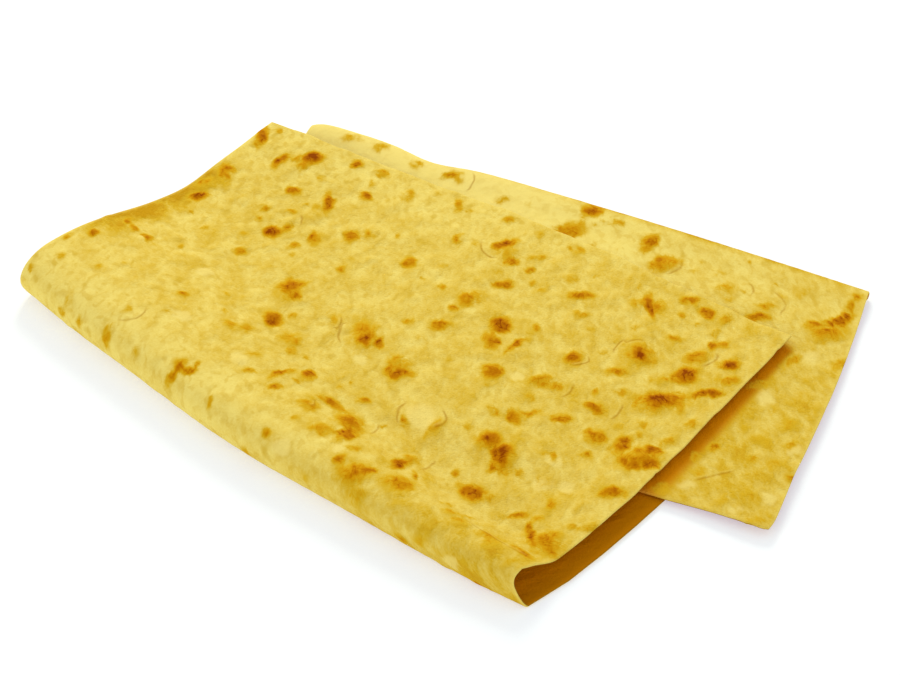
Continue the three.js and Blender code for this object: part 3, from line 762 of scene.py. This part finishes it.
relief = np.select([stretch == TOP, stretch == ROLL, stretch == TUCKED], [
    mix(roll_relief, top_relief, past_crest), roll_relief,
    tucked_relief * smooth(from_fold, 4, 14),
])
print("relief, mm: up to", round(float(relief.max()), 2))

# %% [markdown]
# ## Two crusts from one sheet
#
# The relief pushes the middle outwards, and then each crust lies half a thickness away,
# on either side. Solidify would do the same, but working it out here lets the thickness
# run out at the rim. The bottom layer's crusts stay level, because it lies on the table.

# %% Middle, outward direction and thickness
GRAIN = 0.16  # mm, from the lowest to the highest


def outward(grid):
    """Unit normals: the cross product of the two directions in the grid, the way round
    that faces out of the fold. On the bottom layer they point straight down."""
    normal = np.cross(np.gradient(grid, axis=1), np.gradient(grid, axis=0))
    normal = -normal / np.linalg.norm(normal, axis=-1, keepdims=True)
    return np.where((stretch == BOTTOM)[..., None], np.array([0.0, 0.0, -1.0]), normal)


raised = middle + outward(middle) * relief[..., None]
normal = outward(raised)
to_side = SHEET_WIDTH * np.minimum(t, 1 - t)[None, :]
to_free_end = np.minimum(travelled, travelled[-1] - travelled)
to_border = np.minimum(np.minimum(to_side, to_free_end), RIM_RADIUS)
half = THICKNESS / 2 * np.sqrt(1 - (1 - to_border / RIM_RADIUS) ** 2)
grain = GRAIN * roughness(across, travelled, cell=3.0, seed=71) * smooth(to_side, 0, 3)
grain = np.where(stretch == BOTTOM, 0.0, grain)
crusts = [raised + normal * (half + grain)[..., None], raised - normal * half[..., None]]
centre = np.mean(cad_box, axis=0) / MM
low = np.minimum(*[crust_points.min(axis=(0, 1)) for crust_points in crusts])
high = np.maximum(*[crust_points.max(axis=(0, 1)) for crust_points in crusts])
shift = np.array([*(centre - (low + high) / 2)[:2], -low[2]])  # onto the table
print("moved by", np.round(shift, 2), "mm; size", np.round(high - low, 1))

# %% [markdown]
# ## The mesh
#
# The points of both crusts go into one mesh. Along the borders the two share their
# points, so the bread is one closed skin. Each face is a square of four neighbours in the
# grid, and the inner crust's squares run the other way round, so that they face out too.

# %% One closed mesh
outer_index = np.arange(rows * columns).reshape(rows, columns)
border = np.zeros((rows, columns), bool)
border[[0, -1], :] = True
border[:, [0, -1]] = True
inner_index = np.zeros_like(outer_index)
inner_index[~border] = rows * columns + np.arange((~border).sum())
inner_index[border] = outer_index[border]


def squares(index):
    """The four corners of each cell of the grid, in order round the cell."""
    corners = [index[:-1, :-1], index[1:, :-1], index[1:, 1:], index[:-1, 1:]]
    return np.stack(corners, -1).reshape(-1, 4)


points = np.concatenate([crusts[0].reshape(-1, 3), crusts[1][~border]]) + shift
faces = np.concatenate([squares(outer_index), squares(inner_index)[:, ::-1]])
mesh = bpy.data.meshes.new("lavash_bread")
mesh.from_pydata((points * MM).tolist(), [], faces.tolist())
mesh.polygons.foreach_set("use_smooth", np.ones(len(faces), bool))
mesh.validate()
print("mesh:", len(points), "points,", 2 * len(faces), "triangles")

# %% [markdown]
# ## How golden, where light and shade are painted, how thin
#
# No sheet bakes evenly. This one is pale on the roll's face at the left, partly as painted
# light for the light that face misses, and grows golden towards the right and on the flap,
# with one golden band along the left side edge. Painted shade darkens it where it bends
# round the far fold. At the left, the top layer is paler near its free edge, and the tucked
# layer carries painted light in its shade just past that edge and near the far fold.
#
# Under the right side edge, the shadow that the top layer throws on the tucked layer is
# painted into its crust as a warm orange shade. The inner crust is painted a dark
# orange-brown as shade, darker near the open side edges, and painted light stands in for
# light through the thin sheet: the inside of the roll glows, and a cut edge is a light
# line of painted highlight and glow. All of these are fields like the toast: smooth
# numbers for each point.

# %% Golden parts, painted fold shade and painted light
# golden shares from 0 to 1, and more as painted shade where the sheet bends round the far fold
to_the_right = smooth(across, 150, 320)
on_top = smooth(behind, -8, 25)
# the roll's face is paler at the left: partly its own tone, partly painted light for the light that
# face misses
top_gold = mix(mix(0.2, 0.52, on_top), mix(0.92, 0.62, on_top), to_the_right)
left_band = (1 - smooth(across, 3, 22)) * smooth(behind, 15, 45)
left_band = left_band * (1 - smooth(behind, 115, 135))
# paler near the top layer's free edge, at the left, by a lower golden share
paler_free_end = (1 - smooth(travelled, 15, 60)) * (1 - smooth(across, 120, 260))
# painted shade on the far fold, given as a deeper golden share
painted_fold_shade = (1 - smooth(from_fold, 2.4, 4.6)) * bow(np.clip((across - 20) / 330, 0, 1))
back_gold = mix(0.1, 0.46, smooth(across, 150, 330)) + 1.1 * painted_fold_shade
back_gold = mix(back_gold, 0.8, smooth(from_fold, 25, 110))
top_gold = top_gold + left_band - 0.2 * paler_free_end
golden_part = by_layer(top_gold, back_gold, 0.5)
# painted light on the tucked layer in the shade just past the top layer's free edge
painted_light_past_edge = smooth(past_top_edge, -2, 0) * (1 - smooth(past_top_edge, 3, 17))
painted_light_past_edge = np.where(stretch == TUCKED, painted_light_past_edge * (1 - smooth(across, 170, 290)), 0.0)
print("golden share of the crust, mean:", round(float(golden_part.mean()), 2))

# %% Painted shadow, painted rim highlight and painted glow
EDGE_NEAR_END = 8.0  # mm behind the front fold
SHADE_REACH = (8.0, 21.0)  # mm past the edge: at its far end, at its near end

# Painted shadow: the top layer's shadow on the tucked layer, reaching further past the side edge
# towards its near end.
down_edge = (TOP_CORNERS[1, 1] - plan_y) / (TOP_CORNERS[1, 1] - EDGE_NEAR_END)
down_edge = np.clip(down_edge, 0, 1)
edge_x = mix(TOP_CORNERS[1, 0], FRONT_ENDS[1], down_edge)
edge_x = edge_x + TOP_SIDE_BOW * side_swell(1 - down_edge)
under_edge = 1 - smooth(plan_x - edge_x, 1, mix(*SHADE_REACH, down_edge))
under_edge = under_edge * smooth(plan_x, -60, -20) * (1 - smooth(past_top_edge, -7, 0))
# the painted shadow lies on the tucked layer only
painted_shadow_part = np.where(stretch == TUCKED, under_edge, 0.0)
to_edge = np.minimum(to_side, to_free_end)
# painted highlight along the cut edges: full on the side edges, weaker on the free ends, none on
# the bottom layer
painted_rim_highlight = (1 - smooth(to_edge, 0.2, 1.3)) * np.where(to_side < to_free_end, 1.0, 0.3)
painted_rim_highlight = np.where(stretch == BOTTOM, 0.0, painted_rim_highlight)
# Painted light on the inner crust: a glow near the free borders of the other layers, and in the
# hollow of the roll, weaker near the open side edges.
painted_edge_glow = 0.8 * (1 - smooth(to_edge, 0.5, 3))
painted_hollow_glow = mix(0.3, 1.0, smooth(to_side, 2, 16))
painted_glow_inside = np.where(np.isin(stretch, (ROLL, BOTTOM)), painted_hollow_glow, painted_edge_glow)
print("damp points:", int((painted_shadow_part > 0.5).sum()))

# %% Fields and a flat map on the mesh
is_inner = np.concatenate([np.zeros(rows * columns), np.ones((~border).sum())])


def both(outer, inner=0.0):
    """One value per mesh point: the outer crust's grid, then the inner one's."""
    outer = np.broadcast_to(outer, (rows, columns)).astype(float)
    inner = np.broadcast_to(inner, (rows, columns)).astype(float)
    return np.concatenate([outer.ravel(), inner[~border]])


fields = {
    "golden": both(golden_part, 0.5),
    "toast": both(outer_heat, inner_heat),
    "crease": both(crease, 9.0),
    "crease_strength": both(crease_strength),
    # pale bubbles, and painted light near the far fold
    "pale": both(pale_part),
    "calm": both(calm),
    # painted light past the top layer's free edge
    "painted_light_past_edge": both(painted_light_past_edge),
    # painted shadow beside the right side edge
    "painted_shadow": both(painted_shadow_part),
    "inner": is_inner,
    # painted highlight along the cut edges
    "rim": both(painted_rim_highlight),
    "glow": both(0.0, painted_glow_inside),
}
for name, values in fields.items():
    attribute = mesh.attributes.new(name, "FLOAT", "POINT")
    attribute.data.foreach_set("value", values.astype(np.float32))

flat = np.stack([both(across, across), both(travelled, travelled)], -1) * MM
uv_map = mesh.uv_layers.new(name="flat_sheet")
uv_map.data.foreach_set("uv", flat[faces.ravel()].astype(np.float32).ravel())

bread = bpy.data.objects.new("lavash_bread", mesh)
scene.collection.objects.link(bread)
print("fields:", ", ".join(fields))

# %% [markdown]
# ## Writing a finish as sums
#
# A material in Blender is a web of nodes, hard to read in a script. Here a small class
# wraps the output of a node, and sums and products of such values add the nodes
# themselves, so a formula in the script looks like one.

# %% Values that add their own nodes
class Shade:
    """A number that changes over the surface: the output socket of a node."""

    def __init__(self, finish, socket):
        self.finish, self.socket = finish, socket

    def __add__(self, other):
        return self.finish.math("ADD", self, other)

    def __sub__(self, other):
        return self.finish.math("SUBTRACT", self, other)

    def __rsub__(self, other):
        return self.finish.math("SUBTRACT", other, self)

    def __mul__(self, other):
        return self.finish.math("MULTIPLY", self, other)

    __radd__, __rmul__ = __add__, __mul__


class Finish:
    """A material being written, with one method that adds any node."""

    def __init__(self, name):
        self.material = bpy.data.materials.new(name)
        self.material.use_nodes = True
        self.tree = self.material.node_tree
        self.tree.nodes.clear()

    def node(self, kind, inputs=None, output=0, **settings):
        """Adds a node, sets its settings, then links or sets its sockets by name or
        number, and returns the output asked for."""
        made = self.tree.nodes.new(kind)
        for key, value in settings.items():
            setattr(made, key, value)
        for key, value in (inputs or {}).items():
            if isinstance(value, Shade):
                self.tree.links.new(value.socket, made.inputs[key])
            else:
                made.inputs[key].default_value = value
        return Shade(self, made.outputs[output]) if made.outputs else made

    def math(self, operation, *values):
        """The sum, product or other operation of one to three values."""
        return self.node("ShaderNodeMath", dict(enumerate(values)), operation=operation)

    def field(self, name):
        """A field that the mesh carries."""
        return self.node("ShaderNodeAttribute", output=2, attribute_name=name)

    def noise(self, place, scale, detail=2.0, distortion=0.0):
        """Soft noise from 0 to 1, the same in every run, this many cells to the metre."""
        values = {"Vector": place, "Scale": scale, "Detail": detail, "Distortion": distortion}
        return self.node("ShaderNodeTexNoise", values)

    def fade(self, value, start, end, low=0.0, high=1.0):
        """low before start, high after end, smooth between."""
        values = {0: value, 1: start, 2: end, 3: low, 4: high}
        return self.node("ShaderNodeMapRange", values, interpolation_type="SMOOTHSTEP")

    def blend(self, share, a, b):
        """Colour a where share is 0 and colour b where it is 1."""
        values = {0: share, 6: a, 7: b}
        return self.node("ShaderNodeMix", values, 2, data_type="RGBA", clamp_factor=True)


def colour(red, green, blue):
    """A colour as a screen shows it, 0 to 255, turned into amounts of light."""
    shares = np.array([red, green, blue]) / 255
    light = np.where(shares <= 0.04045, shares / 12.92, ((shares + 0.055) / 1.055) ** 2.4)
    return (*[float(x) for x in light], 1.0)


print("crust yellow as light:", [round(x, 3) for x in colour(228, 199, 85)])

# %% [markdown]
# ## The baked crust
#
# The noise lies on the flat sheet, so it bends with the bread. Most of it is drawn out
# the way the dough was pulled. Patches of 8 mm, lumps of 11 mm and a mottle of 3 mm share
# the crust between pale, golden and deep golden dough, and each grows stronger where the
# golden field is high. Small specks and dots of scorched flour lie on top.
#
# The colour is laid on in coats, as a painter would: each has a share, from 0 to 1 over
# the surface, and a colour that covers what lies below by that share.

# %% Noise on the flat sheet
INNER_JUMP = (3.7, 1.9, 5.3)  # m, so the inner crust has other noise than the outer one
NOISE_TURN, NOISE_PULL = math.radians(52), 1.5

crust = Finish("baked_crust")
inner = crust.field("inner")
flat_place = crust.node("ShaderNodeUVMap", uv_map="flat_sheet")
jump = crust.node("ShaderNodeCombineXYZ", dict(enumerate(inner * x for x in INNER_JUMP)))
place = crust.node("ShaderNodeVectorMath", {0: flat_place, 1: jump}, operation="ADD")
pulled = crust.node("ShaderNodeMapping", {
    "Vector": place, "Rotation": (0.0, 0.0, NOISE_TURN), "Scale": (NOISE_PULL, 1.0, 1.0),
}, vector_type="TEXTURE")

broad = crust.noise(place, 30.0) - 0.5
patches = crust.noise(pulled, 120.0) - 0.5
mottle = crust.noise(pulled, 330.0) - 0.5
grit = crust.noise(place, 900.0, detail=1.0) - 0.5
lumps = crust.fade(crust.noise(pulled, 90.0, detail=1.0, distortion=0.3), 0.30, 0.70) - 0.5
specks = crust.fade(crust.noise(pulled, 230.0, detail=1.0, distortion=0.4), 0.52, 0.66)
dots = crust.fade(crust.noise(pulled, 150.0, detail=1.0, distortion=0.3), 0.56, 0.76)
twisted = crust.noise(place, 120.0, detail=1.0, distortion=1.2)
wrinkles = 1 - crust.fade(crust.math("ABSOLUTE", twisted - 0.5), 0.0, 0.05)
print("noises:", sum(node.type == "TEX_NOISE" for node in crust.tree.nodes))

# %% Dough, from pale to deep golden
PALE, GOLDEN, DEEP = colour(235, 213, 112), colour(211, 173, 40), colour(197, 148, 18)
SPECK, DOT = colour(208, 170, 46), colour(202, 166, 40)
# pale bubble skin, also painted light near the far fold; painted light past the top layer's free
# edge; painted highlight on the cut edges
PALE_SKIN_AND_PAINTED_LIGHT, PAINTED_LIGHT_PAST_EDGE, RIM_HIGHLIGHT = colour(239, 217, 122), colour(248, 228, 124), colour(242, 216, 104)
# the inner crust's painted shade, and its lighter painted-light colour
PAINTED_HOLLOW_SHADE, PAINTED_HOLLOW_LIGHT = colour(162, 102, 0), colour(194, 118, 2)
# painted shadow beside the right side edge: its outer part, and nearest the edge
HALF_PAINTED_SHADOW, PAINTED_SHADOW = colour(206, 160, 18), colour(196, 118, 0)

gold = crust.field("golden")
golden = gold + 0.3 * broad + (0.4 + 0.5 * gold) * patches + (0.4 + 0.6 * gold) * mottle
golden = golden + (0.15 + 0.4 * gold) * lumps + 0.5 * grit - 0.05
glow, painted_shadow = crust.field("glow"), crust.field("painted_shadow")
coats = [
    (golden, GOLDEN),
    (crust.fade(golden, 0.85, 1.5), DEEP),
    (0.35 * specks, SPECK),
    (0.5 * dots, DOT),
    # pale bubbles, and painted light near the far fold
    (0.6 * crust.fade(crust.field("pale"), 0.0, 0.7), PALE_SKIN_AND_PAINTED_LIGHT),
    # painted light past the top layer's free edge
    (0.4 * crust.field("painted_light_past_edge"), PAINTED_LIGHT_PAST_EDGE),
    # inner crust: painted hollow shade, lightened by painted glow
    (inner, crust.blend(glow, PAINTED_HOLLOW_SHADE, PAINTED_HOLLOW_LIGHT)),
    # painted shadow of the top layer's side edge
    (0.85 * crust.fade(painted_shadow, 0.0, 0.6), HALF_PAINTED_SHADOW),
    (0.95 * crust.fade(painted_shadow, 0.3, 1.0), PAINTED_SHADOW),
    # painted highlight along the cut edges
    (0.7 * crust.field("rim"), RIM_HIGHLIGHT),
]
print("coats on the pale dough:", len(coats))

# %% [markdown]
# ## Toast, creases and skin
#
# The toast field is frayed by the same noise and then read by four ramps, from yellow
# over gold and brown to nearly black, so that every mark has a light rim and a dark
# middle. A crease is a small step in the bump, drawn as a fine line of painted shade with
# a painted highlight on its lip, and it breaks off here and there.
#
# The skin is dry, with hardly any shine. Its pores and wrinkles are too small for the
# mesh, so they are a bump of less than a millimetre. Light through the sheet is painted
# light: a faint orange glow of the inner crust in the hollow and along the cut edges, and
# in the darkest painted shadow beside the right side edge. Real scattering under the skin
# would do it too, at many times the work for the same look.

# %% Toast and creases
TOAST_YELLOW, TOAST_GOLD = colour(212, 172, 32), colour(205, 147, 6)
TOAST_BROWN, NEARLY_BLACK = colour(183, 112, 0), colour(140, 64, 0)
# painted shade for a crease's line, and a painted highlight for its lip
CREASE_SHADE, LIP_HIGHLIGHT = colour(176, 126, 18), colour(240, 218, 122)

toast = crust.field("toast")
heat = toast + toast * (1.2 * mottle + 1.2 * patches + 0.3 * wrinkles - 0.04) + 0.14 * patches
to_crease = crust.field("crease")
strength = crust.field("crease_strength") * crust.fade(patches, -0.3, 0.1, 0.3)
# painted shade along the crease and a painted highlight on its lip; both also shape the bump
line = (1 - crust.fade(crust.math("ABSOLUTE", to_crease - 0.4), 0.0, 1.1)) * strength
lip_highlight = (1 - crust.fade(crust.math("ABSOLUTE", to_crease + 1.0), 0.0, 1.3)) * strength
coats += [
    (crust.fade(heat, 0.03, 0.34), TOAST_YELLOW),
    (crust.fade(heat, 0.20, 0.52), TOAST_GOLD),
    (crust.fade(heat, 0.40, 0.74), TOAST_BROWN),
    (crust.fade(heat, 0.70, 1.10), NEARLY_BLACK),
    # painted shade of the crease and painted highlight of its lip
    (0.6 * line, CREASE_SHADE),
    (0.2 * lip_highlight, LIP_HIGHLIGHT),
]
base = PALE
for share, shade in coats:
    base = crust.blend(share, base, shade)
print("coats in all:", len(coats))

# %% Relief and shine
BUMP_DEPTH = 0.7 * MM
# colour of the painted glow that the crust gives off itself
PAINTED_GLOW_COLOUR = colour(170, 100, 0)[:3]

bumpiness = 0.9 - 0.5 * crust.field("calm") + 0.5 * gold
height = (0.6 * mottle + 1.1 * patches + 0.35 * grit + 0.7 * lumps) * bumpiness
height = height - 0.1 * line + 0.06 * lip_highlight
bump = crust.node("ShaderNodeBump", {"Strength": 1.0, "Distance": BUMP_DEPTH, "Height": height})
# painted glow: from the inner crust's glow field and the darkest painted shadow
painted_glow = crust.node("ShaderNodeVectorMath", {
    0: PAINTED_GLOW_COLOUR, "Scale": 0.18 * glow + 0.17 * crust.fade(painted_shadow, 0.5, 1.0),
}, operation="SCALE")
shine = crust.node("ShaderNodeBsdfPrincipled", {
    "Base Color": base,
    "Roughness": 0.72 + 0.3 * mottle,
    "Normal": bump,
    "Specular IOR Level": 0.01,
    "Emission Color": painted_glow,
    "Emission Strength": 1.0,
})
crust.node("ShaderNodeOutputMaterial", {"Surface": shine})
mesh.materials.append(crust.material)
print("nodes in the finish:", len(crust.tree.nodes))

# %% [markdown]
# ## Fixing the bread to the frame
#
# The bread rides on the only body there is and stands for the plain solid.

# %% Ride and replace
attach(bread, "root")
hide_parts("lavash")
print("bread stands for: lavash")

# %% [markdown]
# ## Floor and light
#
# A white floor and a white sky keep the shadows soft. The main light is a large softbox
# behind the bread and to its left, so that the shadows fall forwards and the hollow under
# the right side edge stays dark. A weak one in front keeps the roll's face bright. Both
# are large, because food is lit through a window or a cloth and never by a bare lamp.
#
# A yellow bread throws yellow light on a white floor. In a studio that would be balanced
# away, and here the floor does it: it glows a little itself, bluer than it reflects, and
# so its shadows come out nearly grey.

# %% Floor
FLOOR_HALF = 3.0
PAPER = (0.66, 0.70, 0.60, 1.0)
PAPER_GLOW, PAPER_GLOW_STRENGTH = (0.79, 0.785, 1.0, 1.0), 0.455

floor_mesh = bpy.data.meshes.new("floor")
floor_corners = [(-1, -1), (1, -1), (1, 1), (-1, 1)]
floor_mesh.from_pydata(
    [(x * FLOOR_HALF, y * FLOOR_HALF, 0.0) for x, y in floor_corners], [], [(0, 1, 2, 3)])
floor = bpy.data.objects.new("floor", floor_mesh)
scene.collection.objects.link(floor)
paper = Finish("white_paper")
paper_shine = paper.node("ShaderNodeBsdfPrincipled", {
    "Base Color": PAPER, "Roughness": 0.9, "Specular IOR Level": 0.0,
    "Emission Color": PAPER_GLOW, "Emission Strength": PAPER_GLOW_STRENGTH,
})
paper.node("ShaderNodeOutputMaterial", {"Surface": paper_shine})
floor_mesh.materials.append(paper.material)
print("floor:", 2 * FLOOR_HALF, "m wide")

# %% Sky and softbox
SKY = 0.77
KEY_WATTS = 27.8
FILL_WATTS = 6.5
world = bpy.data.worlds.new("studio")
scene.world = world
world.use_nodes = True
background = world.node_tree.nodes["Background"].inputs
background["Color"].default_value = (1.0, 1.0, 1.0, 1.0)
background["Strength"].default_value = SKY


def softbox(name, place, size, watts):
    """A square lamp that faces the bread: its place and size are in metres."""
    lamp = bpy.data.lights.new(name, "AREA")
    lamp.size, lamp.energy = size, watts
    box = bpy.data.objects.new(name, lamp)
    box.location = place
    box.rotation_mode = "QUATERNION"
    box.rotation_quaternion = (-Vector(place)).to_track_quat("-Z", "Y")
    scene.collection.objects.link(box)


softbox("key", place=(-1.25, 1.50, 1.18), size=0.75, watts=KEY_WATTS)
softbox("fill", place=(-0.70, -1.80, 0.85), size=0.9, watts=FILL_WATTS)
scene.view_settings.view_transform = "Standard"
print("sky", SKY, "key", KEY_WATTS, "W")
